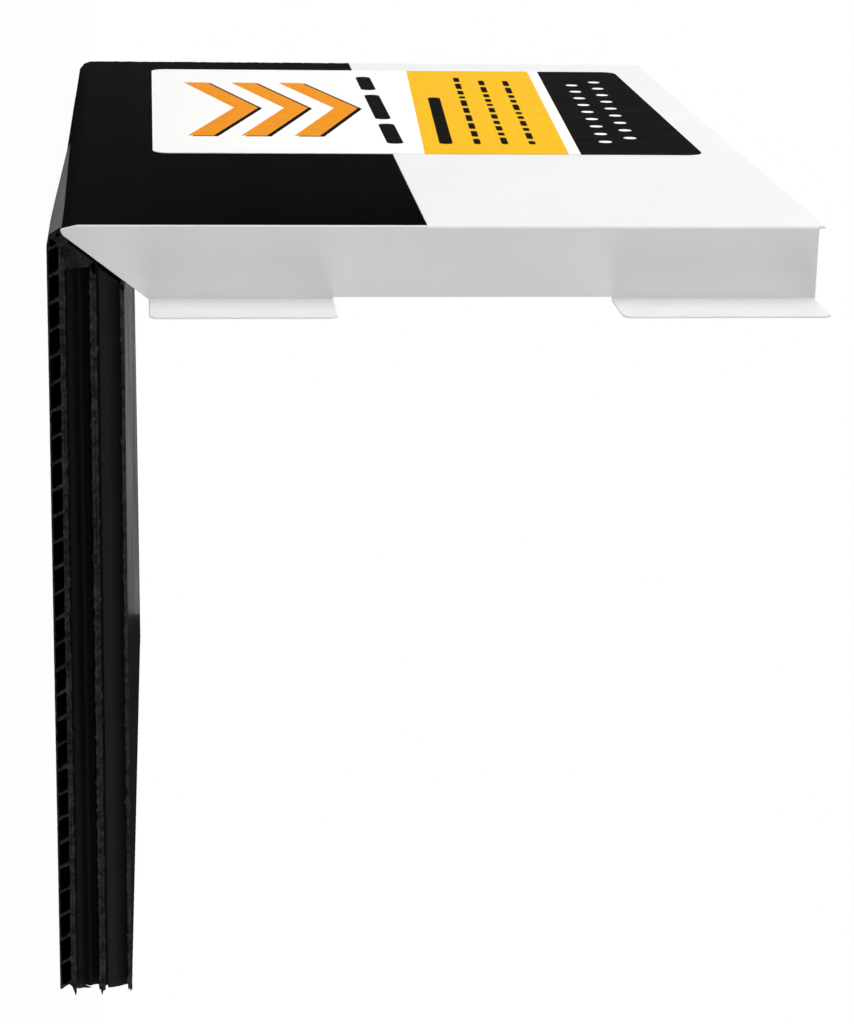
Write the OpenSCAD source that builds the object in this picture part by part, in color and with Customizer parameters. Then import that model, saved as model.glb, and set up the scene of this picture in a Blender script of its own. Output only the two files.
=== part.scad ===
// Coping vent: a bent strip of black fluted sheet with two fluted panels bonded inside its leg,
// and a folded white channel that carries the arm. Stored lying on the leg's outer face, so the
// leg runs along +X on the floor and the arm stands up along +Z. The depth runs along Y.

/* [Arm] */
// Length of the arm, from the leg's outer face to the free end of the top plate
arm_l = 170; // [120:1:300]
// Height of the channel, from the top plate to the underside of the tabs
channel_h = 16.9; // [14:0.1:20]
// Length of the arm that the black sheet covers, from the leg's outer face
cover_l = 82; // [40:1:110]
// Depth of the whole vent, across both side flaps
vent_w = 254; // [120:1:300]

/* [Leg] */
// Length of the leg, from the arm's outer face to the foot
leg_l = 180; // [120:1:300]
// Thickness of each of the two fluted panels inside the leg
panel_t = 6.7; // [5.5:0.1:8]

/* [Fluted outer sheet] */
// Thickness of the outer sheet
outer_t = 3.2; // [2.5:0.1:3.8]
// Outer radius of the bend between the leg and the arm
bend_r = 5; // [4:0.1:6]
// Distance from one slanted web of the outer sheet to the next
web_pitch = 5.9; // [4:0.1:10]
// Thickness of the outer sheet's outer skin
outer_skin = 0.45; // [0.3:0.05:0.8]
// Thickness of the outer sheet's inner skin
inner_skin = 0.8; // [0.3:0.05:1]

/* [Fluted panels] */
// Distance from one flute of a panel to the next, before it is fitted to the width
flute_pitch = 4.5; // [3:0.1:8]
// Thickness of the webs between flutes
web_t = 0.6; // [0.4:0.1:1]
// Thickness of a panel's skin on the side of the outer sheet
near_skin = 0.7; // [0.4:0.1:1.2]
// Thickness of the middle panel's skin on the side of the inner panel
middle_far_skin = 0.9; // [0.4:0.1:1.5]
// Thickness of the inner panel's skin that lies against the wall
inner_far_skin = 1; // [0.4:0.1:1.5]
// Depth of the cut-open flute at the middle panel's side edges
middle_recess = 3.8; // [1:0.1:3.9]
// Depth of the cut-open flute at the inner panel's side edges
inner_recess = 2.8; // [1:0.1:3.9]

/* [Channel] */
// Thickness of the white sheet
sheet_t = 0.6; // [0.4:0.1:1.2]
// Height of the side flap's pointed tip above the leg's outer face
tip_z = 2.9; // [2:0.1:4]
// How far the side flap's pointed tip lies inside the arm's outer face
tip_x = 1; // [0.5:0.1:2]
// Height of the mitre's inner end above the leg's outer face
mitre_foot = 21.8; // [20:0.1:26]
// How far the top plate stands out past the side flaps at its free end
top_overhang = 1.5; // [0.5:0.1:5]
// Radius of the top plate's rear free corner
corner_r = 4; // [1:0.5:8]

/* [Nailing tabs] */
// How far each tab stands out from its side flap
tab_w = 16.5; // [8:0.5:25]
// Length of the tab next to the mitre
corner_tab_l = 40; // [20:0.5:50]
// Length of the tab next to the free end
end_tab_l = 45.5; // [20:0.5:50]

/* [Label] */
// Length of the label along the arm
label_l = 137; // [80:0.5:140]
// Width of the label across the arm
label_w = 145; // [60:0.5:160]
// Distance from the leg's outer face to the label
label_start = 23; // [12:0.5:25]
// Distance from the front side flap to the label
label_front = 91.5; // [40:0.5:95]
// Radius of the label's corners
label_r = 4; // [2:0.5:8]

/* [Hidden] */
$fn = 48;
label_t = 0.15;
tab_chamfer = 1.3;
web_slant = 1.3;
outer_web_t = 0.5;
// Where the straight part of the mitre starts, just past the flap's blunt tip
mitre_nose = tip_x + 1.4;
mitre_start = tip_z + 0.7;
// How far the panels' ends are hidden behind the flap's mitre
lap = 1;
// Width between the two side flaps, which every black piece fills
inside_w = vent_w - 2 * sheet_t;
flap_h = channel_h - sheet_t;
// The origin is at the middle of the base, under the middle of the overall length
origin_x = (leg_l - label_t) / 2;

// Turns an outline in X and Z into a solid that runs along Y from y0 to y1
module across(y0, y1) {
    translate([0, y1, 0]) rotate([90, 0, 0]) linear_extrude(height = y1 - y0) children();
}

// Turns an outline in Y and Z into a solid that runs along X from x0 to x1
module along_leg(x0, x1) {
    translate([x0, 0, 0]) rotate([90, 0, 90]) linear_extrude(height = x1 - x0) children();
}

module rounded_rectangle(l, w, r) {
    translate([r, 0]) square([l - 2 * r, w]);
    translate([0, r]) square([l, w - 2 * r]);
    for (x = [r, l - r], y = [r, w - r]) translate([x, y]) circle(r);
}

// Outline of the outer sheet without its flutes: the leg, the bend and the covered arm
module bent_strip() {
    difference() {
        union() {
            translate([bend_r, 0]) square([leg_l - bend_r, outer_t]);
            translate([0, bend_r]) square([outer_t, cover_l - bend_r]);
            translate([bend_r, bend_r]) circle(bend_r);
        }
        translate([bend_r, outer_t]) square([leg_l, cover_l]);
        translate([outer_t, bend_r]) square([leg_l, cover_l]);
        translate([bend_r, bend_r]) circle(bend_r - outer_t);
    }
}

// One flute of the outer sheet, between two webs that lean towards the bend
module slanted_flute(gap) {
    rise = outer_t - outer_skin - inner_skin;
    translate([0, outer_skin])
        polygon([[0, 0], [gap, 0], [gap - web_slant, rise], [-web_slant, rise]]);
}

// A row of flutes along X that fills the length from start to end
module flute_row(start, end) {
    count = floor((end - start) / web_pitch);
    pitch = (end - start) / count;
    for (i = [0 : count - 1])
        translate([start + i * pitch + outer_web_t / 2, 0]) slanted_flute(pitch - outer_web_t);
}

module outer_fluted_sheet() {
    first_web = bend_r + web_slant / 3;
    color([0.06, 0.06, 0.065])
        across(-inside_w / 2, inside_w / 2) difference() {
            bent_strip();
            flute_row(first_web, leg_l - outer_web_t);
            mirror([1, -1]) flute_row(first_web, cover_l - outer_web_t);
        }
}

// Section across one panel: two skins and the webs between them, with the outermost flutes
// cut open at the side edges
module panel_section(recess, far) {
    webs = round((inside_w - 2 * recess) / flute_pitch) + 1;
    pitch = (inside_w - 2 * recess - web_t) / (webs - 1);
    translate([-inside_w / 2, 0]) square([inside_w, near_skin]);
    translate([-inside_w / 2, panel_t - far]) square([inside_w, far]);
    for (i = [0 : webs - 1])
        translate([-inside_w / 2 + recess + i * pitch, 0]) square([web_t, panel_t]);
}

// A side flap's outline, with the mitre and its blunt tip at the lower end
module flap_outline(end) {
    polygon([
        [0, bend_r], [tip_x, tip_z], [mitre_nose, mitre_start],
        [flap_h, mitre_foot], [flap_h, end], [0, end],
    ]);
}

// The space inside the arm that no panel reaches: the panels end just behind the mitre
module mitre_waste() {
    run = (mitre_foot - mitre_start) / (flap_h - mitre_nose);
    polygon([
        [-mitre_nose, mitre_start + lap - 2 * mitre_nose * run],
        [-mitre_nose, arm_l],
        [leg_l, mitre_start + lap + (leg_l - mitre_nose) * run],
    ]);
}

module fluted_panel(base, recess, far) {
    difference() {
        translate([0, 0, base]) along_leg(bend_r, leg_l) panel_section(recess, far);
        across(-vent_w, vent_w) mitre_waste();
    }
}

module middle_panel() {
    color([0.05, 0.05, 0.055]) fluted_panel(outer_t, middle_recess, middle_far_skin);
}

module inner_panel() {
    color([0.07, 0.07, 0.075]) fluted_panel(outer_t + panel_t, inner_recess, inner_far_skin);
}

// One outturned tab under a side flap, seen as a flat plate with chamfered outer corners
module tab(start, length) {
    translate([flap_h, -vent_w / 2, start]) rotate([90, 0, 90]) linear_extrude(height = sheet_t)
        polygon([
            [sheet_t, 0], [sheet_t, length], [tab_chamfer - tab_w, length],
            [-tab_w, length - tab_chamfer], [-tab_w, tab_chamfer], [tab_chamfer - tab_w, 0],
        ]);
}

module side_flap(end) {
    across(-vent_w / 2, sheet_t - vent_w / 2) flap_outline(end);
    tab(mitre_foot, corner_tab_l);
    tab(end - end_tab_l, end_tab_l);
}

module top_plate() {
    rotate([90, 0, 90]) linear_extrude(height = sheet_t) difference() {
        translate([-vent_w / 2, cover_l]) square([vent_w, arm_l - cover_l]);
        translate([vent_w / 2 - corner_r, arm_l - corner_r]) difference() {
            square(corner_r + 1);
            circle(corner_r);
        }
    }
}

module channel() {
    color([0.93, 0.94, 0.94]) {
        top_plate();
        side_flap(arm_l - top_overhang);
        mirror([0, 1, 0]) side_flap(arm_l - corner_r);
    }
}

module label() {
    color([0.98, 0.98, 0.97])
        translate([-label_t, label_front - vent_w / 2, label_start])
            rotate([90, 0, 90]) linear_extrude(height = label_t)
                rounded_rectangle(label_w, label_l, label_r);
}

translate([-origin_x, 0, 0]) {
    channel();
    outer_fluted_sheet();
    middle_panel();
    inner_panel();
    label();
}
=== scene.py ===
# Looks of the coping vent: a folded white channel, a bent black fluted sheet, two black fluted
# boards bonded inside its leg, and a printed label. The vent lies on the leg's outer face. Here
# x runs along the leg from the arm's outer face, y is the depth and z is the height.
import math
import random

import bmesh
import bpy
from mathutils import Matrix, Vector, noise
from mathutils.geometry import delaunay_2d_cdt


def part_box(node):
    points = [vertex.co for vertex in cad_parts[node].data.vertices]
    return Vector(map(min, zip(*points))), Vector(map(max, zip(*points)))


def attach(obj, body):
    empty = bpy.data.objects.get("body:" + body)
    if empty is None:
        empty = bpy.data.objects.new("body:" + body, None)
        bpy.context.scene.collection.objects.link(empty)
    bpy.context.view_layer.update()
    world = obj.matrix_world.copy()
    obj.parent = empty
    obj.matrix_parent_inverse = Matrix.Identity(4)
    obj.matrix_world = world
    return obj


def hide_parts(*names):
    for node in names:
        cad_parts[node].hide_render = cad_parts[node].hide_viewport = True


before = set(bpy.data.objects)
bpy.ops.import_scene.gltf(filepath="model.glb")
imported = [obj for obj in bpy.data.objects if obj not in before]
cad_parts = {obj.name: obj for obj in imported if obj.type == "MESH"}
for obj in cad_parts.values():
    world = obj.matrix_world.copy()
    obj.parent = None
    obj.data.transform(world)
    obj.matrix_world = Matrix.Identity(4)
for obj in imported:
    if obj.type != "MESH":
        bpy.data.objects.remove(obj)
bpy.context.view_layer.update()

MM = 0.001

# Sizes that the frame gives
strip_low, strip_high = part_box("outer_fluted_sheet")
middle_low, middle_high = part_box("middle_panel")
channel_low, channel_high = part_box("channel")
label_low, label_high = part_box("label")
ARM_FACE = strip_low.x
LEG_L = strip_high.x - ARM_FACE
COVER_L = strip_high.z
ARM_L = channel_high.z
CHANNEL_H = channel_high.x - channel_low.x
HALF_INSIDE = strip_high.y
TAB_REACH = channel_high.y
OUTER_T = middle_low.z
PANEL_T = middle_high.z - middle_low.z

# Outer fluted sheet
BEND_R = 5 * MM
OUTER_SKIN = 0.35 * MM
INNER_SKIN = 0.6 * MM
WEB_SLANT = 1.3 * MM
WEB_T = 0.75 * MM
WEB_PITCH = 5.9 * MM
END_WEB = 0.5 * MM
SAWN_REACH = 0.7 * MM
SAWN_DEPTH = 0.1 * MM

# Its bend, whose crease and the painted reflection on it fade towards a dented rear half and a
# rounded rear corner
FOLD_REACH = 5.4 * MM
FOLD_HEIGHT = 3.3 * MM
TORN_REACH = 7 * MM
CREASE_END = 114 * MM
DENT_START = 35 * MM
REAR_LIFT = 1.4 * MM
REAR_ROUND = 2.2 * MM

# Fluted boards
NEAR_SKIN = 0.55 * MM
MIDDLE_FAR_SKIN = 0.8 * MM
INNER_FAR_SKIN = 0.9 * MM
FLUTE_PITCH = 4.5 * MM
FLUTE_WEB = 0.6 * MM
MIDDLE_RECESS = 3.8 * MM
INNER_RECESS = 2.8 * MM
FLOOR_PAST_FOOT = 0.8 * MM
REAR_BOW = 1.5 * MM
STEPS_ALONG = 300

# Their ends lie just behind the mitre, but are set back near both sides and at their joint
MITRE_LAP = 0.74 * MM
SET_BACK = 1.9 * MM
SET_BACK_GROWTH = 0.08
SET_BACK_DEPTH = 13 * MM
JOINT_SET_BACK = 2.2 * MM

# Folded channel
SHEET_T = 0.6 * MM
HALF_VENT = HALF_INSIDE + SHEET_T
FOLD_R = 0.6 * MM
FOLD_STEPS = 8
TIP_X = 0.9 * MM
TIP_Z = 2.9 * MM
NOSE_X = 2.4 * MM
NOSE_Z = 3.6 * MM
MITRE_X = CHANNEL_H - SHEET_T
MITRE_Z = 21.8 * MM
NOTCH_X = MITRE_X - 0.45 * MM
TAB_CHAMFER = 1.3 * MM
CORNER_TAB_L = 40 * MM
END_TAB_L = 45.5 * MM
FRONT_OVERHANG = 1.5 * MM
CORNER_R = 4 * MM
EDGE_ROUND = 0.2 * MM
SLIT = 0.02 * MM

# Label
LABEL_R = 4 * MM


def vent(x, y, z):
    """A point of the vent, with x measured from the arm's outer face."""
    return Vector((ARM_FACE + x, y, z))


# Outlines


def arc(centre, radius, start, end, steps):
    """Points on an arc from one angle to another, both in degrees."""
    cx, cy = centre
    turn = [math.radians(start + (end - start) * i / steps) for i in range(steps + 1)]
    return [(cx + radius * math.cos(a), cy + radius * math.sin(a)) for a in turn]


def rounded(corners, steps=4):
    """A closed outline from (x, y, radius) corners, each one rounded with its own radius."""
    points = []
    for i, (x, y, radius) in enumerate(corners):
        here = Vector((x, y))
        before = Vector(corners[i - 1][:2])
        after = Vector(corners[(i + 1) % len(corners)][:2])
        a = (before - here).normalized()
        b = (after - here).normalized()
        half = a.angle(b) / 2
        if radius <= 0 or half > math.radians(89):
            points.append((x, y))
            continue
        reach = radius / math.tan(half)
        centre = here + (a + b).normalized() * (radius / math.sin(half))
        first = here + a * reach - centre
        last = here + b * reach - centre
        turn = math.atan2(first.x * last.y - first.y * last.x, first.dot(last))
        for k in range(steps + 1):
            c, s = math.cos(turn * k / steps), math.sin(turn * k / steps)
            points.append((centre.x + first.x * c - first.y * s,
                           centre.y + first.x * s + first.y * c))
    return points


def closer(loop, gap):
    """The closed outline with points added, so that none are further apart than the gap."""
    points = []
    for i, a in enumerate(loop):
        b = loop[(i + 1) % len(loop)]
        count = max(1, math.ceil(math.dist(a, b) / gap))
        points += [(a[0] + (b[0] - a[0]) * k / count, a[1] + (b[1] - a[1]) * k / count)
                   for k in range(count)]
    return points


def inside(point, loop):
    """Whether a point lies inside a closed outline."""
    x, y = point
    odd = False
    for (ax, ay), (bx, by) in zip(loop, loop[1:] + loop[:1]):
        if (ay > y) != (by > y) and x < ax + (y - ay) * (bx - ax) / (by - ay):
            odd = not odd
    return odd


def span(loop):
    """Lowest and highest corner of an outline."""
    xs, ys = zip(*loop)
    return min(xs), min(ys), max(xs), max(ys)


def triangles(loops, lines=()):
    """Fills the first outline, less the holes, with triangles that keep to every line.

    Gives the points, the triangles, and each point's number in the loops, or None. It works in
    millimetres, and points closer than the last value become one.
    """
    points, edges = [], []
    for loop in loops:
        first = len(points)
        points += [Vector(p) / MM for p in loop]
        edges += [(first + i, first + (i + 1) % len(loop)) for i in range(len(loop))]
    known = len(points)
    for line in lines:
        first = len(points)
        points += [Vector(p) / MM for p in line]
        edges += [(first + i, first + i + 1) for i in range(len(line) - 1)]
    made = delaunay_2d_cdt(points, edges, [], 0, 1e-4)
    flat = [(p.x * MM, p.y * MM) for p in made[0]]
    source = [next((k for k in olds if k < known), None) for olds in made[3]]
    boxes = [span(loop) for loop in loops]
    kept = []
    for tri in made[2]:
        a, b, c = (flat[i] for i in tri)
        middle = ((a[0] + b[0] + c[0]) / 3, (a[1] + b[1] + c[1]) / 3)
        hits = 0
        for loop, (x0, y0, x1, y1) in zip(loops, boxes):
            if x0 < middle[0] < x1 and y0 < middle[1] < y1 and inside(middle, loop):
                hits += 1
        if hits == 1:
            turn = (b[0] - a[0]) * (c[1] - a[1]) - (b[1] - a[1]) * (c[0] - a[0])
            kept.append(tuple(tri) if turn > 0 else tuple(tri)[::-1])
    return flat, kept, source


def border(tris):
    """The points along the edge of a patch of triangles, in order and counter-clockwise."""
    sides = {(tri[k], tri[(k + 1) % 3]) for tri in tris for k in range(3)}
    following = {a: b for a, b in sides if (b, a) not in sides}
    ring = [min(following)]
    while following[ring[-1]] != ring[0]:
        ring.append(following[ring[-1]])
    return ring


# Mesh building


class Builder:
    """Gathers the points and faces of one piece, each face with its material's number."""

    def __init__(self, materials):
        self.materials = materials
        self.points, self.faces, self.paint, self.normals = [], [], [], []

    def add(self, points):
        first = len(self.points)
        self.points += points
        return first

    def face(self, corners, material, normals=None):
        self.faces.append(tuple(corners))
        self.paint.append(material)
        self.normals.append(normals)

    def ring_strip(self, a, b, count, material):
        """Faces between two closed rings of points that start at a and b."""
        for i in range(count):
            j = (i + 1) % count
            paint = material[i] if isinstance(material, list) else material
            self.face((a + i, b + i, b + j, a + j), paint)

    def finish(self, name, smooth_below=None):
        """Makes the piece. Edges sharper than the angle, in degrees, stay sharp."""
        used = sorted({i for face in self.faces for i in face})
        number = {old: new for new, old in enumerate(used)}
        faces = [[number[i] for i in face] for face in self.faces]
        mesh = bpy.data.meshes.new(name)
        mesh.from_pydata([self.points[i] for i in used], [], faces)
        for material in self.materials:
            mesh.materials.append(material)
        mesh.polygons.foreach_set("material_index", self.paint)
        if any(self.normals):
            mesh.polygons.foreach_set("use_smooth", [True] * len(mesh.polygons))
            custom = []
            for polygon, normals in zip(mesh.polygons, self.normals):
                custom += normals or [polygon.normal.copy()] * len(polygon.vertices)
            mesh.normals_split_custom_set(custom)
        else:
            shape = bmesh.new()
            shape.from_mesh(mesh)
            bmesh.ops.recalc_face_normals(shape, faces=shape.faces)
            shape.to_mesh(mesh)
            shape.free()
            mesh.polygons.foreach_set("use_smooth", [True] * len(mesh.polygons))
            mesh.set_sharp_from_angle(angle=math.radians(smooth_below))
        piece = bpy.data.objects.new(name, mesh)
        bpy.context.collection.objects.link(piece)
        return piece


def add_prism(builder, loops, rows, place, paints, cap_paint):
    """A solid with a constant section: the first loop is its outline and the others its holes.

    rows gives each loop's stations from 0 to 1, and place(u, v, t) puts a section point there.
    paints gives each loop's material, or a list with one for each of its points. cap_paint
    gives an end's material for a point of the section and the end's number, 0 or 1.
    """
    starts, ends = [], []
    for loop, stations, paint in zip(loops, rows, paints):
        rings = [builder.add([place(u, v, t) for u, v in loop]) for t in stations]
        for a, b in zip(rings, rings[1:]):
            builder.ring_strip(a, b, len(loop), paint)
        starts += range(rings[0], rings[0] + len(loop))
        ends += range(rings[-1], rings[-1] + len(loop))
    flat, tris, source = triangles(loops)
    for tri in tris:
        u, v = (sum(flat[i][k] for i in tri) / 3 for k in range(2))
        a, b, c = (source[i] for i in tri)
        builder.face((starts[a], starts[b], starts[c]), cap_paint(u, v, 0))
        builder.face((ends[a], ends[c], ends[b]), cap_paint(u, v, 1))


def wave(x, y, z, size):
    """Smooth noise from -1 to 1, with features of about the given size."""
    return noise.noise(Vector((x, y, z)) / size)


def share_of(value, start, end):
    """How far a value lies from the start to the end, from 0 to 1."""
    return max(0.0, min(1.0, (value - start) / (end - start)))


def add_sliver(builder, root, along, across, length, width, thick, curl, paint):
    """A torn point of plastic that tapers from its root and curls over."""
    along, across = Vector(along).normalized(), Vector(across).normalized()
    out = along.cross(across).normalized()
    steps = 7
    rings = []
    for k in range(steps):
        t = k / (steps - 1)
        taper = max(0.05, (1 - t) ** 0.8)
        spot = root + along * (length * t) + out * (curl * t * t)
        spot += across * (0.3 * width * t * wave(root.x, root.z, t * 4 * MM, 1.5 * MM))
        side = across * (width / 2 * taper)
        face = out * (thick / 2 * taper)
        rings.append(builder.add([spot - side, spot - face, spot + side, spot + face]))
    for a, b in zip(rings, rings[1:]):
        builder.ring_strip(a, b, 4, paint)
    builder.face([rings[0] + i for i in (3, 2, 1, 0)], paint)
    builder.face([rings[-1] + i for i in range(4)], paint)


# Materials


class Nodes:
    """A material with a Principled shader, and short calls that add nodes to it."""

    def __init__(self, name, roughness, specular):
        self.material = bpy.data.materials.new(name)
        self.material.use_nodes = True
        self.tree = self.material.node_tree
        self.shader = self.tree.nodes["Principled BSDF"]
        self.shader.inputs["Roughness"].default_value = roughness
        self.shader.inputs["Specular IOR Level"].default_value = specular
        self.place = self.tree.nodes.new("ShaderNodeTexCoord").outputs["Object"]

    def link(self, output, node_input):
        self.tree.links.new(output, node_input)

    def stretched(self, scale):
        """Object coordinates with each axis scaled, which draws texture out along an axis."""
        node = self.tree.nodes.new("ShaderNodeMapping")
        node.inputs["Scale"].default_value = scale
        self.link(self.place, node.inputs["Vector"])
        return node.outputs["Vector"]

    def noise(self, scale, detail=3.0, rough=0.55, stretch=None):
        node = self.tree.nodes.new("ShaderNodeTexNoise")
        node.inputs["Scale"].default_value = scale
        node.inputs["Detail"].default_value = detail
        node.inputs["Roughness"].default_value = rough
        self.link(self.stretched(stretch) if stretch else self.place, node.inputs["Vector"])
        return node.outputs["Fac"]

    def axis(self, name):
        """One of the object coordinates: X, Y or Z."""
        node = self.tree.nodes.new("ShaderNodeSeparateXYZ")
        self.link(self.place, node.inputs["Vector"])
        return node.outputs[name]

    def combine(self, operation, a, b):
        """A sum, product or the like of two outputs."""
        node = self.tree.nodes.new("ShaderNodeMath")
        node.operation = operation
        self.link(a, node.inputs[0])
        self.link(b, node.inputs[1])
        return node.outputs["Value"]

    def ramp(self, factor, low, high, to_low=0.0, to_high=1.0):
        node = self.tree.nodes.new("ShaderNodeMapRange")
        node.inputs["From Min"].default_value = low
        node.inputs["From Max"].default_value = high
        node.inputs["To Min"].default_value = to_low
        node.inputs["To Max"].default_value = to_high
        self.link(factor, node.inputs["Value"])
        return node.outputs["Result"]

    def mix(self, factor, a, b):
        """A colour between two, each given as a tuple or as a node's output."""
        node = self.tree.nodes.new("ShaderNodeMix")
        node.data_type = "RGBA"
        self.link(factor, node.inputs["Factor"])
        for socket, colour in zip((node.inputs[6], node.inputs[7]), (a, b)):
            if isinstance(colour, tuple):
                socket.default_value = (*colour, 1)
            else:
                self.link(colour, socket)
        return node.outputs[2]

    def colour(self, output):
        self.link(output, self.shader.inputs["Base Color"])

    def roughness(self, output):
        self.link(output, self.shader.inputs["Roughness"])

    def bump(self, layers):
        """Bump from (height output, depth in metres) layers, one on top of the other."""
        normal = None
        for height, depth in layers:
            node = self.tree.nodes.new("ShaderNodeBump")
            node.inputs["Strength"].default_value = 1.0
            node.inputs["Distance"].default_value = depth
            self.link(height, node.inputs["Height"])
            if normal:
                self.link(normal, node.inputs["Normal"])
            normal = node.outputs["Normal"]
        self.link(normal, self.shader.inputs["Normal"])


def white_coating():
    """Factory-coated sheet: faint mottling, fine orange peel and a slow waviness."""
    m = Nodes("white_coating", 0.42, 0.35)
    mottle = m.ramp(m.noise(28, 5), 0.3, 0.7)
    base = m.mix(mottle, (0.835, 0.85, 0.85), (0.865, 0.872, 0.868))
    scuff = m.ramp(m.noise(9, 6, 0.7, (1, 0.25, 1)), 0.62, 0.78, 0, 0.5)
    m.colour(m.mix(scuff, base, (0.80, 0.81, 0.805)))
    m.roughness(m.ramp(m.noise(160, 3), 0.3, 0.7, 0.36, 0.5))
    m.bump([(m.noise(14, 2), 0.1 * MM), (m.noise(1500, 2), 0.006 * MM)])
    return m.material


def sheared_edge_painted_highlight():
    """Cut edge of the coated sheet, with a thin coating and grain, coloured brighter than the
    coating: a painted highlight along the edges.
    """
    m = Nodes("sheared_edge_painted_highlight", 0.35, 0.5)
    grain = m.ramp(m.noise(900, 4, 0.6, (1, 0.3, 1)), 0.3, 0.7)
    # Painted highlight: the edge is paler than the coating around it
    m.colour(m.mix(grain, (0.90, 0.905, 0.905), (0.96, 0.965, 0.96)))
    m.bump([(m.noise(2500, 3), 0.02 * MM)])
    return m.material


def black_skin():
    """Smooth extruded skin with draw lines along the flutes, and a painted sheen that makes it
    paler to the rear and low on the arm.
    """
    m = Nodes("black_skin", 0.36, 0.0001)
    draw = m.noise(260, 4, 0.6, (1, 0.012, 1))
    lines = m.ramp(draw, 0.38, 0.66)
    cloud = m.ramp(m.noise(22, 4), 0.3, 0.75, 0, 0.35)
    # Painted sheen: darkest at the front and paler to the rear, where a grazing reflection would
    # lie
    front = m.mix(lines, (0.0006, 0.0007, 0.0007), (0.0020, 0.0021, 0.0021))
    rear = m.mix(lines, (0.0056, 0.0056, 0.0056), (0.0092, 0.0092, 0.0091))
    base = m.mix(m.ramp(m.axis("Y"), -HALF_INSIDE, HALF_INSIDE), front, rear)
    # Painted sheen: paler again low on the arm, near the bend
    base = m.mix(m.ramp(m.axis("Z"), 4 * MM, 45 * MM, 0.4, 0), base, (0.0095, 0.0096, 0.0096))
    base = m.mix(cloud, base, (0.0040, 0.0042, 0.0042))
    dust = m.ramp(m.noise(1900, 2, 0.4), 0.735, 0.78, 0, 0.6)
    m.colour(m.mix(dust, base, (0.03, 0.03, 0.03)))
    m.roughness(m.ramp(draw, 0.3, 0.75, 0.3, 0.42))
    m.bump([(draw, 0.02 * MM), (m.noise(900, 3), 0.006 * MM)])
    return m.material


def fold_skin_painted_reflection():
    """The skin over the bend: a pale grey painted reflection along its crease, where the gloss is
    raised as well, that narrows and ends halfway to the rear.
    """
    m = Nodes("fold_skin_painted_reflection", 0.32, 0.3)
    draw = m.noise(420, 4, 0.6, (1, 0.02, 1))
    lines = m.ramp(draw, 0.3, 0.7)
    across, height = m.axis("Y"), m.axis("Z")
    last = CREASE_END - HALF_VENT
    limit = m.ramp(across, 10 * MM - HALF_VENT, last, 3.35 * MM, 2.3 * MM)
    low = m.ramp(m.combine("SUBTRACT", height, limit), -0.12 * MM, 0.12 * MM, 1, 0)
    # The crease mask marks where the reflection is painted grey and where the gloss is raised
    crease = m.combine("MULTIPLY", low, m.ramp(across, last - 16 * MM, last, 1, 0))
    # Painted reflection: a pale grey drawn along the crease
    painted_reflection = m.mix(lines, (0.036, 0.035, 0.035), (0.080, 0.078, 0.077))
    m.colour(m.mix(crease, (0.004, 0.004, 0.004), painted_reflection))
    m.link(m.ramp(crease, 0, 1, 0.0001, 0.6), m.shader.inputs["Specular IOR Level"])
    m.roughness(m.ramp(draw, 0.3, 0.7, 0.26, 0.4))
    m.bump([(draw, 0.03 * MM)])
    return m.material


def cell_wall():
    """Inside of a flute: smooth, dark and slightly uneven."""
    m = Nodes("cell_wall", 0.45, 0.05)
    drift = m.ramp(m.noise(320, 4), 0.3, 0.7)
    m.colour(m.mix(drift, (0.0028, 0.0029, 0.0033), (0.006, 0.006, 0.0065)))
    m.bump([(m.noise(700, 3), 0.03 * MM)])
    return m.material


def cut_plastic():
    """Sawn edge: a paler, rough and stringy surface with bright specks of burr."""
    m = Nodes("cut_plastic", 0.75, 0.08)
    rough = m.ramp(m.noise(620, 6, 0.7), 0.38, 0.66)
    base = m.mix(rough, (0.0060, 0.0063, 0.0070), (0.043, 0.045, 0.050))
    speck = m.ramp(m.noise(1700, 3, 0.5), 0.62, 0.72, 0, 0.8)
    m.colour(m.mix(speck, base, (0.095, 0.097, 0.10)))
    m.bump([(m.noise(1500, 5, 0.7), 0.09 * MM), (m.noise(400, 3), 0.08 * MM)])
    return m.material


def flute_face():
    """The first web of the middle board, seen at the bottom of its cut-open flute."""
    m = Nodes("flute_face", 0.5, 0.06)
    drift = m.ramp(m.noise(300, 5, 0.6, (0.08, 1, 1)), 0.3, 0.7)
    base = m.mix(drift, (0.0020, 0.0023, 0.0033), (0.0042, 0.0046, 0.0062))
    speck = m.ramp(m.noise(1500, 4, 0.6), 0.68, 0.78, 0, 0.5)
    m.colour(m.mix(speck, base, (0.02, 0.02, 0.022)))
    m.bump([(m.noise(500, 5, 0.6, (0.1, 1, 1)), 0.08 * MM), (m.noise(1700, 3), 0.02 * MM)])
    return m.material


def torn_face():
    """The sealed tongues and the bend's crushed ends: dark, mottled and scarred."""
    m = Nodes("torn_face", 0.6, 0.05)
    blotch = m.ramp(m.noise(520, 5, 0.65), 0.35, 0.68)
    base = m.mix(blotch, (0.0037, 0.0039, 0.0045), (0.028, 0.029, 0.034))
    speck = m.ramp(m.noise(1600, 3, 0.5), 0.64, 0.74, 0, 0.7)
    m.colour(m.mix(speck, base, (0.06, 0.062, 0.068)))
    m.bump([(m.noise(600, 5, 0.7), 0.15 * MM), (m.noise(1700, 3), 0.05 * MM)])
    return m.material


def board_face():
    """The inner board's smoother and greyer face."""
    m = Nodes("board_face", 0.5, 0.06)
    drift = m.ramp(m.noise(260, 5, 0.6, (0.06, 1, 1)), 0.3, 0.7)
    base = m.mix(drift, (0.0098, 0.0104, 0.0122), (0.0129, 0.0136, 0.0158))
    speck = m.ramp(m.noise(1400, 4, 0.6), 0.68, 0.78, 0, 0.5)
    m.colour(m.mix(speck, base, (0.03, 0.03, 0.032)))
    m.bump([(m.noise(500, 4, 0.6, (0.08, 1, 1)), 0.05 * MM), (m.noise(1700, 3), 0.015 * MM)])
    return m.material


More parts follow.
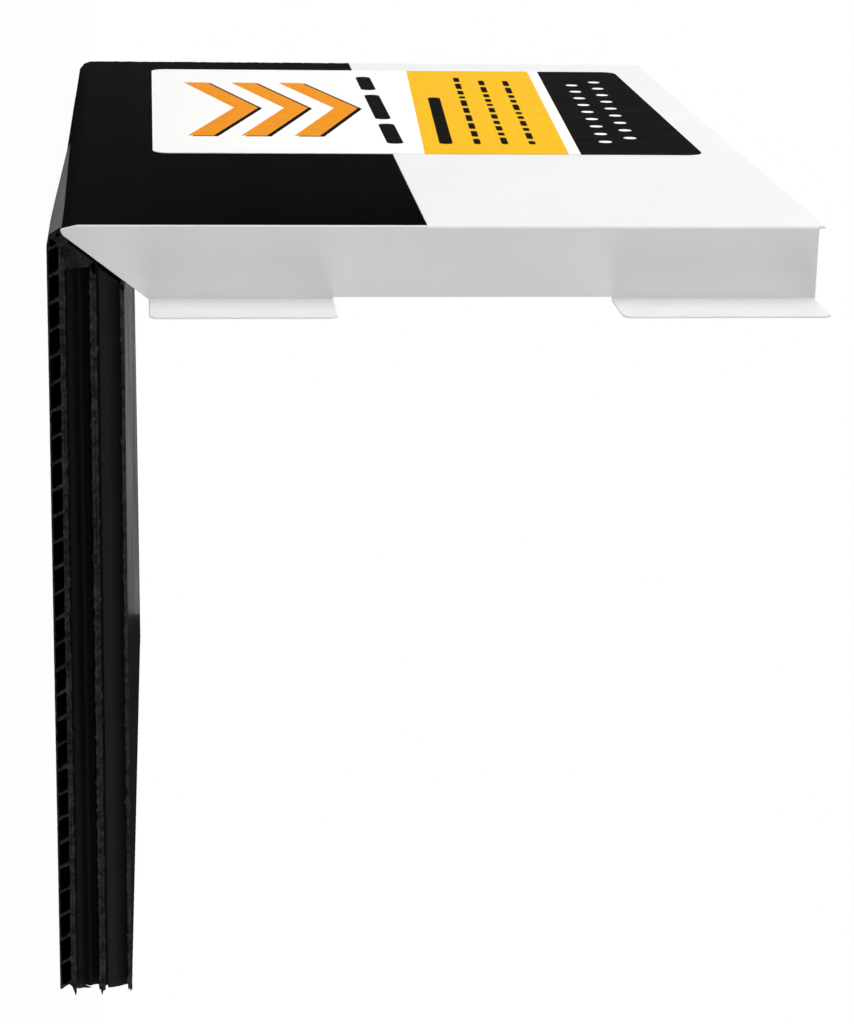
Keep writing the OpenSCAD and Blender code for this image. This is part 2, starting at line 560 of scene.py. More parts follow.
def wall_skin():
    """Skin of the board that lies against the wall, with draw lines along the leg."""
    m = Nodes("wall_skin", 0.28, 0.00002)
    draw = m.noise(260, 4, 0.6, (0.012, 1, 1))
    m.colour(m.mix(m.ramp(draw, 0.3, 0.7), (0.0135, 0.0139, 0.0150), (0.0195, 0.0200, 0.0215)))
    m.roughness(m.ramp(m.noise(30, 4), 0.3, 0.7, 0.12, 0.2))
    m.bump([(draw, 0.03 * MM), (m.noise(900, 3), 0.008 * MM)])
    return m.material


def ink(name, colour, worn, specular=0.01):
    """Printed film: an even ink with a faint mottle and a satin lacquer."""
    m = Nodes(name, 0.5, specular)
    mottle = m.ramp(m.noise(420, 5, 0.6), 0.35, 0.75)
    m.colour(m.mix(mottle, colour, worn))
    m.roughness(m.ramp(m.noise(120, 3), 0.3, 0.7, 0.44, 0.56))
    m.bump([(m.noise(45, 3), 0.02 * MM), (m.noise(2200, 2), 0.003 * MM)])
    return m.material


# Outer fluted sheet


def sheet_cells(first, last, draw):
    """Outlines of the flutes between two places along a flat part, as (along, height)."""
    count = math.floor((last - first) / WEB_PITCH)
    pitch = (last - first) / count
    low, high = OUTER_SKIN, OUTER_T - INNER_SKIN
    cells = []
    for i in range(count):
        a = first + i * pitch + WEB_T / 2
        b = first + (i + 1) * pitch - WEB_T / 2
        lean = WEB_SLANT * (1 + 0.18 * draw.uniform(-1, 1))
        shake = [0.09 * MM * draw.uniform(-1, 1) for _ in range(6)]
        lift = [0.06 * MM * draw.random() for _ in range(2)]
        cells.append(closer(rounded([
            (a + shake[0], low + lift[0], 0.3 * MM),
            (b + shake[1], low + lift[1], 0.25 * MM),
            (b - lean + shake[2], high + shake[4], 0.75 * MM),
            (a - lean + shake[3], high + shake[5], 0.3 * MM),
        ]), 0.45 * MM))
    return cells


def turned(loop):
    """Swaps an outline's two axes and keeps the way round it is drawn."""
    return [(v, u) for u, v in reversed(loop)]


def strip_outline():
    """Outline of the bent sheet in x and z, with a creased bend and a sawn foot."""
    foot = LEG_L
    return rounded([
        (foot, 0.0, 0), (4.7 * MM, 0.0, 0.6 * MM), (2.15 * MM, 0.62 * MM, 0.5 * MM),
        (0.72 * MM, 2.75 * MM, 0.5 * MM), (0.0, 4.9 * MM, 0.8 * MM), (0.0, COVER_L, 0),
        (OUTER_T, COVER_L, 0), (OUTER_T, BEND_R, 1.2 * MM), (BEND_R, OUTER_T, 0.8 * MM),
        (foot, OUTER_T, 0), (foot - 1.0 * MM, OUTER_T - 0.7 * MM, 0.3 * MM),
        (foot - 1.3 * MM, 2.1 * MM, 0.3 * MM), (foot - 0.2 * MM, 0.5 * MM, 0.2 * MM),
    ], 5)


def outer_sheet(materials):
    """The black sheet, with every flute open at both ends.

    materials are those of the skins with their painted sheen, the bend with its painted
    reflection, the flutes, the sawn edges and the torn ends.
    """
    skin, fold, cell, sawn, torn = range(5)
    draw = random.Random(7)
    outline = closer(strip_outline(), 0.6 * MM)
    leg_first = BEND_R + WEB_SLANT / 3
    cells = sheet_cells(leg_first, LEG_L - END_WEB, draw)
    cells += [turned(c) for c in sheet_cells(leg_first, COVER_L - END_WEB, draw)]
    # What the bend leaves of the two flutes that it crushes
    crushed = [
        rounded([(1.6 * MM, 2.5 * MM, 0.1 * MM), (2.2 * MM, 1.9 * MM, 0.1 * MM),
                 (2.7 * MM, 2.3 * MM, 0.15 * MM), (2.5 * MM, 3.0 * MM, 0.2 * MM)]),
        rounded([(3.0 * MM, 0.75 * MM, 0.1 * MM), (4.75 * MM, 0.42 * MM, 0.15 * MM),
                 (4.7 * MM, 1.3 * MM, 0.2 * MM), (3.95 * MM, 2.3 * MM, 0.25 * MM),
                 (3.35 * MM, 1.3 * MM, 0.15 * MM)]),
    ]
    loops = [outline] + cells + crushed

    def place(u, v, t):
        depth = (2 * t - 1) * HALF_INSIDE
        # The sawn sides are ragged
        ragged = SAWN_DEPTH * share_of(abs(depth), HALF_INSIDE - SAWN_REACH, HALF_INSIDE)
        x = u + ragged * wave(u, v + 0.3, depth, 0.9 * MM)
        z = v + ragged * wave(u + 0.4, v, depth, 0.9 * MM)
        y = depth - math.copysign(ragged, depth) * wave(u, v, 0.7, 0.5 * MM)
        # Towards the rear the bend is dented, and its rear corner is rounded
        rear = share_of(depth + HALF_VENT, DENT_START, CREASE_END)
        z += REAR_LIFT * rear * share_of(u, 12 * MM, 5 * MM) * share_of(v, OUTER_T, 0)
        corner = share_of(v, 6 * MM, 0) * share_of(u, 12 * MM, 0)
        y -= REAR_ROUND * corner ** 2 * share_of(depth, HALF_INSIDE - 4 * MM, HALF_INSIDE)
        return vent(x, y, max(0.0, z))

    near_end = [d / (2 * HALF_INSIDE) for d in (0, 0.15 * MM, 0.4 * MM, 0.8 * MM)]
    far_end = [1 - d for d in reversed(near_end)]
    stations = near_end + [k / 24 for k in range(1, 24)] + far_end
    # The bend's faces near the crease take the material with the painted reflection
    paint = [fold if u + v < FOLD_REACH and v < FOLD_HEIGHT else skin for u, v in outline]
    builder = Builder(materials)
    add_prism(builder, loops, [stations] * len(loops), place,
              [paint] + [cell] * (len(loops) - 1),
              lambda u, v, end: torn if u + v < TORN_REACH else sawn)
    return builder.finish("fluted_outer_sheet", 35)


# Fluted boards

# Numbers of a board's materials: the cut-open flutes have their own, and so have their seals
SAWN, SKIN, FLUTE, OPENED, SEALED = range(5)


def mitre_at(z):
    """Where the mitre's line lies along the leg, at a height."""
    run = (MITRE_Z - NOSE_Z) / (MITRE_X - NOSE_X)
    return NOSE_X + (z - NOSE_Z) / run


def board_side(base, low, high, floor_shape):
    """The front side of a board's outline: a lip, the cut-open flute and the other lip."""
    front, top = -HALF_INSIDE, base + PANEL_T
    lip_far = [(front, top - 0.05 * MM), (front - 0.03 * MM, (high + top) / 2),
               (front, high + 0.04 * MM)]
    under_far = [(front + d * MM, high) for d in (0.15, 0.8, 1.6)]
    floor = [(front + depth, low + (high - low) * share) for share, depth in floor_shape]
    over_near = [(front + d * MM, low) for d in (1.6, 0.8, 0.15)]
    lip_near = [(front, low - 0.04 * MM), (front - 0.03 * MM, (base + low) / 2),
                (front, base + 0.05 * MM), (front + 0.25 * MM, base)]
    return lip_far + under_far + floor[::-1] + over_near + lip_near


def board_paint(loop, base):
    """The material's number for each side of a board's outline."""
    paint = []
    for (u, v), (next_u, next_v) in zip(loop, loop[1:] + loop[:1]):
        reach = HALF_INSIDE - (abs(u) + abs(next_u)) / 2
        middle = (v + next_v) / 2
        if reach < 0.2 * MM:
            paint.append(SAWN)
        elif base + 0.02 * MM < middle < base + PANEL_T - 0.04 * MM:
            paint.append(OPENED)
        else:
            paint.append(SKIN)
    return paint


def board(base, far_skin, floor_shape, ribbed, bow, seed, materials):
    """One fluted board: flutes along the leg, and the outermost ones cut open.

    floor_shape gives the cut-open flute's inner face as (share of the height, depth). A ribbed
    board's far skin sags between its webs, and bow is how much thicker the board grows towards
    its rear foot corner.
    """
    draw = random.Random(seed)
    top = base + PANEL_T
    low, high = base + NEAR_SKIN, top - far_skin
    edge = HALF_INSIDE
    deepest = max(depth for _, depth in floor_shape)
    front = board_side(base, low, high, floor_shape)
    rear = [(-u, v) for u, v in reversed(front)]
    room = 2 * (edge - deepest - FLUTE_WEB)
    count = round((room + FLUTE_WEB) / FLUTE_PITCH)
    pitch = (room + FLUTE_WEB) / count
    first = -edge + deepest + FLUTE_WEB
    bottom = [(-edge + 4 * MM, base), (0.0, base), (edge - 4 * MM, base)]
    if ribbed:
        sag = 0.035 * MM
        web = first - FLUTE_WEB / 2
        crest = [(web + pitch * k / 2, top - (sag if k % 2 else 0)) for k in range(2 * count + 1)]
    else:
        crest = [(u, top) for u, _ in bottom]
    loop = front + bottom + rear + crest[::-1]
    holes = []
    for k in range(count):
        a = first + pitch * k
        b = a + pitch - FLUTE_WEB
        shake = [0.05 * MM * draw.uniform(-1, 1) for _ in range(4)]
        holes.append(rounded([(a + shake[0], low, 0.5 * MM), (b + shake[1], low, 0.5 * MM),
                              (b + shake[2], high, 0.5 * MM), (a + shake[3], high, 0.5 * MM)], 3))

    def place(u, v, t):
        # The end at the mitre is set back near both sides, and the flute's floor passes the foot
        side = share_of(abs(u), edge - SET_BACK_DEPTH, edge - SET_BACK_DEPTH + 1 * MM)
        start = max(mitre_at(v) - MITRE_LAP, BEND_R)
        set_back = SET_BACK + SET_BACK_GROWTH * (v - OUTER_T)
        if abs(u) > edge - 1 * MM:
            from_joint = abs(v - OUTER_T - PANEL_T)
            set_back += JOINT_SET_BACK * share_of(from_joint, 1.5 * MM, 0)
        start += side * (set_back + 0.4 * MM * wave(u, v, 0.2, 1.1 * MM))
        at_lip = 1 if abs(u) > edge - 0.2 * MM else 0
        x = start + (LEG_L + (1 - at_lip) * side * FLOOR_PAST_FOOT - start) * t
        # The sawn lips wander, with knobs of burr that reach over the cut-open flute
        chew = wave(x, u * 3, v * 2, 1.3 * MM) + 0.5 * wave(x, u, v, 5 * MM)
        fine = wave(x, u, v * 2, 0.45 * MM)
        knob = max(0.0, wave(x, u * 5, v, 0.9 * MM) - 0.3)
        y = u + math.copysign(at_lip * (0.12 * MM * chew + 0.06 * MM * fine), u)
        z = v + bow * (v - base) / PANEL_T * (u + edge) / (2 * edge) * t ** 0.6
        if low - 0.1 * MM < v < high + 0.1 * MM and abs(u) > edge - deepest - 0.1 * MM:
            towards = 1 if v < (low + high) / 2 else -1
            z += at_lip * towards * (0.2 * MM * chew + 0.13 * MM * fine + 0.9 * MM * knob)
            y += (1 - at_lip) * math.copysign(0.12 * MM * wave(x, u, v, 9 * MM), u)
        from_end = min(t, 1 - t) * (LEG_L - start)
        x += 0.12 * MM * share_of(from_end, 0.5 * MM, 0) * wave(u, v, t, 0.6 * MM)
        return vent(x, y, z)

    stations = [k / STEPS_ALONG for k in range(STEPS_ALONG + 1)]
    few = [0, 0.003, 0.25, 0.5, 0.75, 0.997, 1]
    builder = Builder(materials)
    add_prism(builder, [loop] + holes, [stations] + [few] * count, place,
              [board_paint(loop, base)] + [FLUTE] * count,
              lambda u, v, end: SAWN if end else FLUTE)
    return builder


def middle_board(materials):
    """The middle board, whose cut-open flutes end in a sealed tongue at the mitre."""
    deep = MIDDLE_RECESS
    shape = [(0.02, deep - 0.3 * MM), (0.10, deep), (0.30, deep), (0.42, deep - 0.12 * MM),
             (0.55, deep - 0.55 * MM), (0.62, deep - 0.55 * MM), (0.74, deep - 0.05 * MM),
             (0.90, deep + 0.1 * MM), (0.98, deep - 0.3 * MM)]
    builder = board(OUTER_T, MIDDLE_FAR_SKIN, shape, False, 0.0, 11, materials)
    low = OUTER_T + NEAR_SKIN - 0.3 * MM
    high = OUTER_T + PANEL_T - MIDDLE_FAR_SKIN + 0.2 * MM
    tongue = closer(rounded([
        (mitre_at(low) + 0.9 * MM, low, 0), (9.4 * MM, low, 0),
        (9.6 * MM, low + 1.9 * MM, 0.9 * MM), (9.3 * MM, high, 0.6 * MM),
        (mitre_at(high) + 1.0 * MM, high, 0.3 * MM),
    ]), 0.4 * MM)
    for sign in (-1, 1):
        def place(u, v, t, sign=sign):
            depth = HALF_INSIDE - 0.25 * MM - 1.4 * MM * (1 - t)
            dent = 0.18 * MM * wave(u, v, 0.5, 1.6 * MM)
            return vent(u, sign * (depth + dent * t), v)

        add_prism(builder, [tongue], [[0, 0.85, 1]], place, [SEALED],
                  lambda u, v, end: SEALED)
    add_foot_burr(builder, 3.35 * MM, 2.4 * MM, 1.1 * MM, 0.05)
    add_foot_burr(builder, 9.7 * MM, 2.4 * MM, 1.1 * MM, -0.05)
    thread = vent(LEG_L - 0.6 * MM, -HALF_INSIDE + 0.6 * MM, 3.9 * MM)
    add_sliver(builder, thread, (0.06, 0, 1), (1, 0, 0), 3.4 * MM, 1.6 * MM, 0.5 * MM,
               -0.3 * MM, SAWN)
    return builder.finish("middle_fluted_board", 40)


def inner_board(materials):
    """The inner board: a narrow dark gap beside its near skin, then a face that falls away."""
    deep = INNER_RECESS + 0.6 * MM
    shape = [(0.01, deep), (0.085, deep), (0.11, INNER_RECESS - 0.75 * MM),
             (0.35, INNER_RECESS - 0.65 * MM), (0.6, INNER_RECESS - 0.25 * MM),
             (0.85, INNER_RECESS + 0.5 * MM), (0.97, INNER_RECESS + 0.7 * MM)]
    builder = board(OUTER_T + PANEL_T, INNER_FAR_SKIN, shape, True, REAR_BOW, 23, materials)
    add_foot_burr(builder, 16.2 * MM, 1.6 * MM, 1.1 * MM, 0.12)
    return builder.finish("inner_fluted_board", 40)


def add_foot_burr(builder, z, length, width, lean):
    """A torn point that hangs from a cut skin at both corners of the foot."""
    for sign in (-1, 1):
        root = vent(LEG_L - 0.5 * MM, sign * (HALF_INSIDE - 0.3 * MM), z)
        add_sliver(builder, root, (1, 0.03 * sign, lean), (0, 0, 1), length, width, 0.5 * MM,
                   0.25 * MM * sign, SAWN)


# Folded channel

# Numbers of the channel's materials; the edge's one is brighter, a painted highlight
COAT, EDGE = range(2)


class Fold:
    """Turns the channel's flat pattern into its folded form.

    s is measured across the pattern from the middle of the top plate, and z along the arm.
    """

    def __init__(self):
        self.web_y = HALF_VENT - SHEET_T / 2
        self.flat_end = self.web_y - FOLD_R
        turn = math.pi / 2 * FOLD_R
        self.flap_start = self.flat_end + turn
        self.first_x = SHEET_T / 2 + FOLD_R
        self.last_x = CHANNEL_H - SHEET_T / 2 - FOLD_R
        self.tab_fold = self.at_x(self.last_x)
        self.tab_start = self.tab_fold + turn
        self.tab_end = self.tab_start + TAB_REACH - self.web_y - FOLD_R
        steps = [turn * k / FOLD_STEPS for k in range(FOLD_STEPS + 1)]
        margin = 0.3 * MM
        side = [self.flat_end - margin] + [self.flat_end + step for step in steps]
        side += [self.tab_fold + step for step in steps]
        self.lines = side + [-s for s in side]

    def at_x(self, x):
        """The pattern's s for a place on a side flap."""
        return self.flap_start + x - self.first_x

    def at(self, s, z):
        """Middle of the sheet, and the direction of its outer face, for a pattern point."""
        side = -1 if s > 0 else 1
        flap_end = ARM_L - (FRONT_OVERHANG if s > 0 else CORNER_R)
        a = abs(s)
        if a <= self.flat_end or z > flap_end + SLIT / 2:
            y, x, ny, nx = a, SHEET_T / 2, 0, -1
        elif a < self.flap_start and z > COVER_L - SLIT / 2:
            angle = (a - self.flat_end) / FOLD_R
            ny, nx = math.sin(angle), -math.cos(angle)
            y, x = self.flat_end + FOLD_R * ny, self.first_x + FOLD_R * nx
        elif a <= self.tab_fold:
            y, x, ny, nx = self.web_y, self.first_x + a - self.flap_start, 1, 0
        elif a < self.tab_start:
            angle = (a - self.tab_fold) / FOLD_R
            ny, nx = math.cos(angle), -math.sin(angle)
            y, x = self.web_y + FOLD_R * (1 - ny), self.last_x - FOLD_R * nx
        else:
            y = self.web_y + FOLD_R + a - self.tab_start
            x, ny, nx = self.last_x + FOLD_R, 0, -1
        return vent(x, side * y, z), Vector((nx, side * ny, 0))

    def in_slit(self, s, z):
        """Whether a point lies at one of the hairline slits that let the folds end."""
        ends = (COVER_L, ARM_L - FRONT_OVERHANG, ARM_L - CORNER_R)
        near = any(abs(z - end) < 3 * SLIT for end in ends)
        return near and self.flat_end - SLIT < abs(s) < self.flap_start + SLIT


def channel_side(fold, flap_end):
    """One side of the flat pattern, from the seam along the flap and its tabs to the end."""
    x_at = fold.at_x
    nose = rounded([
        (x_at(0.0), 30 * MM, 0), (x_at(0.0), 6.6 * MM, 4 * MM),
        (x_at(TIP_X), TIP_Z, 0.4 * MM), (x_at(NOSE_X - 0.2 * MM), NOSE_Z - 0.1 * MM, 1 * MM),
        (x_at(MITRE_X), MITRE_Z, 0),
    ], 5)
    outline = [(fold.flap_start, COVER_L), (fold.flap_start, COVER_L - SLIT),
               (x_at(0.0), COVER_L - SLIT), (x_at(0.0), COVER_L - 0.3 * MM)] + nose[1:]
    tabs = ((MITRE_Z, CORNER_TAB_L), (flap_end - END_TAB_L, END_TAB_L))
    for start, length in tabs:
        end = start + length
        if start > MITRE_Z:
            outline.append((x_at(NOTCH_X), start))
        outline += [(fold.tab_end - TAB_CHAMFER, start), (fold.tab_end, start + TAB_CHAMFER),
                    (fold.tab_end, end - TAB_CHAMFER), (fold.tab_end - TAB_CHAMFER, end)]
        if start == MITRE_Z:
            outline.append((x_at(NOTCH_X), end))
    return outline + [(fold.flap_start, flap_end), (fold.flat_end, flap_end)]


def channel_pattern(fold):
    """Outline of the whole flat pattern, counter-clockwise from the seam's front end."""
    plate_edge = HALF_VENT - 0.05 * MM
    front_end, rear_end = ARM_L - FRONT_OVERHANG, ARM_L - CORNER_R
    front = channel_side(fold, front_end)
    front += [(fold.flat_end, front_end + SLIT), (plate_edge, front_end + SLIT),
              (plate_edge, ARM_L)]
    corner = arc((CORNER_R - plate_edge, rear_end), CORNER_R, 90, 180, 10)
    corner[-1] = (-plate_edge, rear_end + SLIT)
    rear = [(-s, z) for s, z in channel_side(fold, rear_end)]
    rear.append((-fold.flat_end, rear_end + SLIT))
    return front + corner + rear[::-1]


def crossed(outline, lines):
    """The outline with a point wherever it crosses one of the fold lines."""
    points = []
    for (s0, z0), (s1, z1) in zip(outline, outline[1:] + outline[:1]):
        points.append((s0, z0))
        low, high = min(s0, s1) + 1e-8, max(s0, s1) - 1e-8
        cuts = sorted((s for s in lines if low < s < high), reverse=s1 < s0)
        points += [(s, z0 + (z1 - z0) * (s - s0) / (s1 - s0)) for s in cuts]
    return points


def drawn_in(points, amount):
    """The counter-clockwise outline moved inwards, by what amount(point) gives."""
    moved = []
    for i, here in enumerate(points):
        before, after = points[i - 1], points[(i + 1) % len(points)]
        a = math.atan2(here[1] - before[1], here[0] - before[0])
        b = math.atan2(after[1] - here[1], after[0] - here[0])
        turn = (b - a + math.pi) % (2 * math.pi) - math.pi
        way = a + turn / 2 + math.pi / 2
        reach = amount(here) / max(0.5, math.cos(turn / 2))
        moved.append((here[0] + reach * math.cos(way), here[1] + reach * math.sin(way)))
    return moved


def folded_channel(materials):
    """The white channel, folded from one sheet and with rounded cut edges."""
    fold = Fold()
    outline = crossed(channel_pattern(fold), fold.lines)
    inset = drawn_in(outline, lambda p: 0 if fold.in_slit(*p) else EDGE_ROUND)
    folds = [((s, 0.0), (s, ARM_L + 1 * MM)) for s in fold.lines]
    flat, tris, source = triangles([inset], folds)
    ring = border(tris)
    known = [source[i] is not None for i in ring]
    rim = []
    for k, i in enumerate(ring):
        if known[k]:
            rim.append(outline[source[i]])
            continue
        before = next(j for j in range(1, len(ring)) if known[k - j])
        after = next(j for j in range(1, len(ring)) if known[(k + j) % len(ring)])
        a, b = ring[k - before], ring[(k + after) % len(ring)]
        share = math.dist(flat[a], flat[i]) / math.dist(flat[a], flat[b])
        (s0, z0), (s1, z1) = outline[source[a]], outline[source[b]]
        rim.append((s0 + (s1 - s0) * share, z0 + (z1 - z0) * share))
    builder = Builder(materials)
    placed = [fold.at(*p) for p in flat]
    outer = builder.add([mid + n * (SHEET_T / 2) for mid, n in placed])
    inner = builder.add([mid - n * (SHEET_T / 2) for mid, n in placed])
    for tri in tris:
        normals = [placed[i][1] for i in tri]
        builder.face([outer + i for i in tri], COAT, normals)
        builder.face([inner + i for i in reversed(tri)], COAT, [-n for n in reversed(normals)])
    rim_placed = [fold.at(*p) for p in rim]
    shoulder = SHEET_T / 2 - EDGE_ROUND
    upper = builder.add([mid + n * shoulder for mid, n in rim_placed])
    lower = builder.add([mid - n * shoulder for mid, n in rim_placed])
    count = len(ring)
    for i in range(count):
        j = (i + 1) % count
        a, b = ring[i], ring[j]
        builder.face((outer + a, upper + i, upper + j, outer + b), EDGE)
        builder.face((upper + i, lower + i, lower + j, upper + j), EDGE)
        builder.face((lower + i, inner + a, inner + b, lower + j), EDGE)
    return builder.finish("folded_channel")


# Label

# Numbers of the label's inks
WHITE, YELLOW, BLACK, ORANGE = range(4)


def bar(u, v, length, thick, lean):
    """A bar with round ends along the label's width, leaning with the colour fields."""
    r = thick / 2
    corners = [(u - r, v), (u + r, v), (u + r, v + length), (u - r, v + length)]
    return rounded([(a + lean * b, b, r * 0.9) for a, b in corners], 3)


def disc(u, v, r):
    return arc((u, v), r, 0, 345, 23)


def label_print(length, width):
    """The generic print, as (paint, outline) layers from the bottom one up.

    u runs along the arm and v across it, both from the label's corner.
    """
    draw = random.Random(5)
    lean = 8 * MM / width
    over = 2 * MM
    layers = []

    def field(paint, start, end):
        layers.append((paint, [(start - lean * over, -over), (end - lean * over, -over),
                               (end + lean * (width + over), width + over),
                               (start + lean * (width + over), width + over)]))

    field(YELLOW, 67 * MM, 103 * MM)
    field(BLACK, 106 * MM, length + 20 * MM)
    middle, half, reach, thick = 0.5 * width, 0.32 * width, 13 * MM, 6.5 * MM
    for k in range(3):
        u = (9 + 13.5 * k) * MM
        chevron = [(u, middle - half), (u + thick, middle - half), (u + thick + reach, middle),
                   (u + thick, middle + half), (u, middle + half), (u + reach, middle)]
        layers.append((BLACK, [(a + 1.1 * MM, b - 1.1 * MM) for a, b in chevron]))
        layers.append((ORANGE, chevron))
    for v, bar_l in ((0.1, 0.22), (0.37, 0.3), (0.73, 0.18)):
        layers.append((BLACK, bar(61 * MM, v * width, bar_l * width, 4.2 * MM, 0)))
    layers.append((BLACK, bar(73 * MM, 0.1 * width, 0.54 * width, 3.4 * MM, lean)))
    for row in range(3):
        v = 0.1 * width
        while v < 0.87 * width:
            dash = draw.uniform(4, 11) * MM
            layers.append((BLACK, bar((81 + 7 * row) * MM, v, dash, 1.7 * MM, lean)))
            v += dash + 3.2 * MM
    for row in range(2):
        for k in range(9):
            u, v = (114 + 7 * row) * MM, (0.13 + 0.085 * k + 0.042 * row) * width
            layers.append((WHITE, disc(u + lean * v, v, 1.7 * MM)))
    return layers


def label_film(inks):
    """The label: a thin film with rounded corners and its print."""
    length, width = label_high.z - label_low.z, label_high.y - label_low.y
    thick = label_high.x - label_low.x
    corners = [(0, 0), (length, 0), (length, width), (0, width)]
    outline = rounded([(u, v, LABEL_R) for u, v in corners], 8)
    layers = label_print(length, width)
    flat, tris, _ = triangles([outline], [shape + shape[:1] for _, shape in layers])
    boxes = [span(shape) for _, shape in layers]
    builder = Builder(inks)

    def place(u, v, lift):
        return Vector((label_high.x - lift, label_low.y + v, label_low.z + u))

    face = builder.add([place(u, v, thick) for u, v in flat])
    back = builder.add([place(u, v, -0.02 * MM) for u, v in flat])
    side_paint = {}
    for tri in tris:
        u = sum(flat[i][0] for i in tri) / 3
        v = sum(flat[i][1] for i in tri) / 3
        paint = WHITE
        for (ink_number, shape), (u0, v0, u1, v1) in zip(layers, boxes):
            if u0 < u < u1 and v0 < v < v1 and inside((u, v), shape):
                paint = ink_number
        builder.face([face + i for i in tri], paint)
        builder.face([back + i for i in reversed(tri)], WHITE)
        for side in zip(tri, tri[1:] + tri[:1]):
            side_paint[side] = paint
    ring = border(tris)
    for a, b in zip(ring, ring[1:] + ring[:1]):
        builder.face((face + a, back + a, back + b, face + b), side_paint[a, b])
    return builder.finish("label_film", 30)


# Camera, light and floor

IMAGE_H = 1024
FOCAL_PIXELS = 2857
CAMERA_PITCH = -16.75
CAMERA_ROLL = -1.13
CAMERA_YAW = -5.385
CAMERA_ABOVE = 118.9 * MM
CAMERA_BEFORE = 607.4 * MM
CAMERA_ALONG = 22.3 * MM


def add_camera():
    """The photo's view. There the vent hangs by its arm, so its up is this scene's -X."""
    data = bpy.data.cameras.new("camera")
    data.sensor_width = 36
    data.lens = FOCAL_PIXELS / IMAGE_H * data.sensor_width
    camera = bpy.data.objects.new("camera", data)
    bpy.context.collection.objects.link(camera)
    upright = Matrix.Rotation(math.radians(90), 3, "X")
    aim = Matrix.Rotation(math.radians(CAMERA_YAW), 3, "Z")
    aim @= Matrix.Rotation(math.radians(CAMERA_ROLL), 3, "Y")
    aim @= Matrix.Rotation(math.radians(CAMERA_PITCH), 3, "X")
    lying = Matrix.Rotation(math.radians(-90), 3, "Y")
    spot = vent(-CAMERA_ABOVE, -HALF_VENT - CAMERA_BEFORE, CAMERA_ALONG)
    camera.matrix_world = Matrix.Translation(spot) @ (lying @ aim @ upright).to_4x4()
    bpy.context.scene.camera = camera


def add_softbox(name, spot, size, watts):
    """A square area lamp that faces the middle of the vent."""
    data = bpy.data.lights.new(name, "AREA")
    data.size = size
    data.energy = watts
    lamp = bpy.data.objects.new(name, data)
    bpy.context.collection.objects.link(lamp)
    lamp.location = spot
    aim = Vector((0, 0, 0.08)) - Vector(spot)
    lamp.rotation_mode = "QUATERNION"
    lamp.rotation_quaternion = aim.to_track_quat("-Z", "Y")
    lamp.visible_camera = False


AMBIENT = 0.28


def add_world():
    """White to the camera and in reflections, and a softer light on the vent."""
    world = bpy.data.worlds.new("studio")
    bpy.context.scene.world = world
    world.use_nodes = True
    tree = world.node_tree
    path = tree.nodes.new("ShaderNodeLightPath")
    seen = path.outputs["Is Camera Ray"]
    for ray in ("Is Glossy Ray", "Is Transmission Ray"):
        either = tree.nodes.new("ShaderNodeMath")
        either.operation = "MAXIMUM"
        tree.links.new(seen, either.inputs[0])
        tree.links.new(path.outputs[ray], either.inputs[1])
        seen = either.outputs["Value"]
    level = tree.nodes.new("ShaderNodeMapRange")
    level.inputs["To Min"].default_value = AMBIENT
    level.inputs["To Max"].default_value = 1.0
    tree.links.new(seen, level.inputs["Value"])
    background = tree.nodes["Background"]
    background.inputs["Color"].default_value = (1, 1, 1, 1)
    tree.links.new(level.outputs["Result"], background.inputs["Strength"])


def add_floor():
    """A plain pale floor that keeps the vent's shadow and meets the white background."""
    half = 6.0
    mesh = bpy.data.meshes.new("floor")
    corners = [(-half, -half, 0), (half, -half, 0), (half, half, 0), (-half, half, 0)]
    mesh.from_pydata(corners, [], [(0, 1, 2, 3)])
    floor = bpy.data.objects.new("floor", mesh)
    bpy.context.collection.objects.link(floor)
    m = Nodes("floor_paper", 0.9, 0.0)
    m.colour(m.mix(m.noise(40, 4), (0.88, 0.88, 0.88), (0.9, 0.9, 0.9)))
    glow = m.tree.nodes.new("ShaderNodeEmission")
    blend = m.tree.nodes.new("ShaderNodeMixShader")
    path = m.tree.nodes.new("ShaderNodeLightPath")
    centre_distance = m.tree.nodes.new("ShaderNodeVectorMath")
    centre_distance.operation = "LENGTH"
    m.link(m.place, centre_distance.inputs[0])
    share = m.ramp(centre_distance.outputs["Value"], 0.15, 0.5, 0.97, 1.0)
    m.link(m.combine("MULTIPLY", path.outputs["Is Camera Ray"], share), blend.inputs["Fac"])
    m.link(m.shader.outputs["BSDF"], blend.inputs[1])
    m.link(glow.outputs["Emission"], blend.inputs[2])
    output = next(n for n in m.tree.nodes if n.type == "OUTPUT_MATERIAL")
    m.link(blend.outputs["Shader"], output.inputs["Surface"])
    mesh.materials.append(m.material)


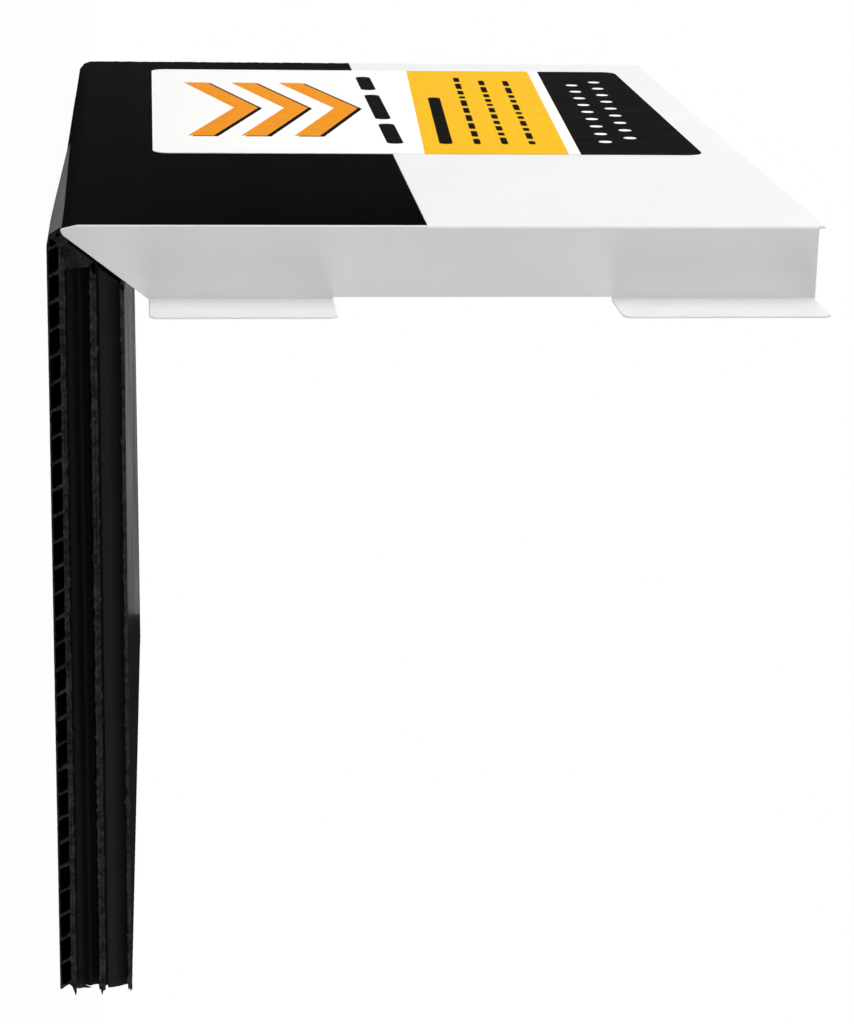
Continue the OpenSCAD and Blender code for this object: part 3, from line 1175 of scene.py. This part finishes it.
def add_flag():
    """A dark card behind the foot that only reflections show, so the leg's foot end stays dark."""
    mesh = bpy.data.meshes.new("flag")
    near, far, behind, top = 0.45, 3.0, 1.2, 1.5
    corners = [(near, behind, 0), (far, behind, 0), (far, behind, top), (near, behind, top)]
    mesh.from_pydata(corners, [], [(0, 1, 2, 3)])
    flag = bpy.data.objects.new("flag", mesh)
    bpy.context.collection.objects.link(flag)
    m = Nodes("flag_cloth", 0.9, 0.0)
    m.colour(m.mix(m.noise(20, 3), (0.02, 0.02, 0.02), (0.03, 0.03, 0.03)))
    mesh.materials.append(m.material)
    flag.visible_camera = False
    flag.visible_diffuse = False
    flag.visible_transmission = False
    flag.visible_shadow = False


def dress(piece, node):
    """Puts a finished piece in the place of its CAD node."""
    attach(piece, "root")
    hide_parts(node)


add_camera()
add_world()
add_floor()
add_flag()
add_softbox("key", (-1.15, -0.36, 0.14), 0.9, 4.35)
add_softbox("front_fill", (-0.10, -1.3, 0.10), 0.6, 1.0)
add_softbox("overhead", (0.35, 0.25, 1.6), 1.2, 6.0)
add_softbox("top_light", (-1.25, 0.15, 0.33), 0.9, 7.8)
add_softbox("low_fill", (0.55, -0.75, 0.08), 0.6, 2.5)

skin, sawn, cell, torn = black_skin(), cut_plastic(), cell_wall(), torn_face()
channel = folded_channel([white_coating(), sheared_edge_painted_highlight()])
dress(channel, "channel")
sheet = outer_sheet([skin, fold_skin_painted_reflection(), cell, sawn, torn])
dress(sheet, "outer_fluted_sheet")
middle = middle_board([sawn, skin, cell, flute_face(), torn])
dress(middle, "middle_panel")
inner = inner_board([sawn, wall_skin(), cell, board_face()])
dress(inner, "inner_panel")
inks = [
    ink("film_white", (0.995, 0.995, 0.99), (0.98, 0.98, 0.975), 0.8),
    ink("ink_yellow", (0.93, 0.50, 0.005), (0.95, 0.55, 0.01)),
    ink("ink_black", (0.0066, 0.0060, 0.0055), (0.0085, 0.008, 0.0075), 0.0005),
    ink("ink_orange", (0.86, 0.28, 0.004), (0.90, 0.34, 0.008)),
]
dress(label_film(inks), "label")

bpy.context.scene.view_settings.view_transform = "Standard"
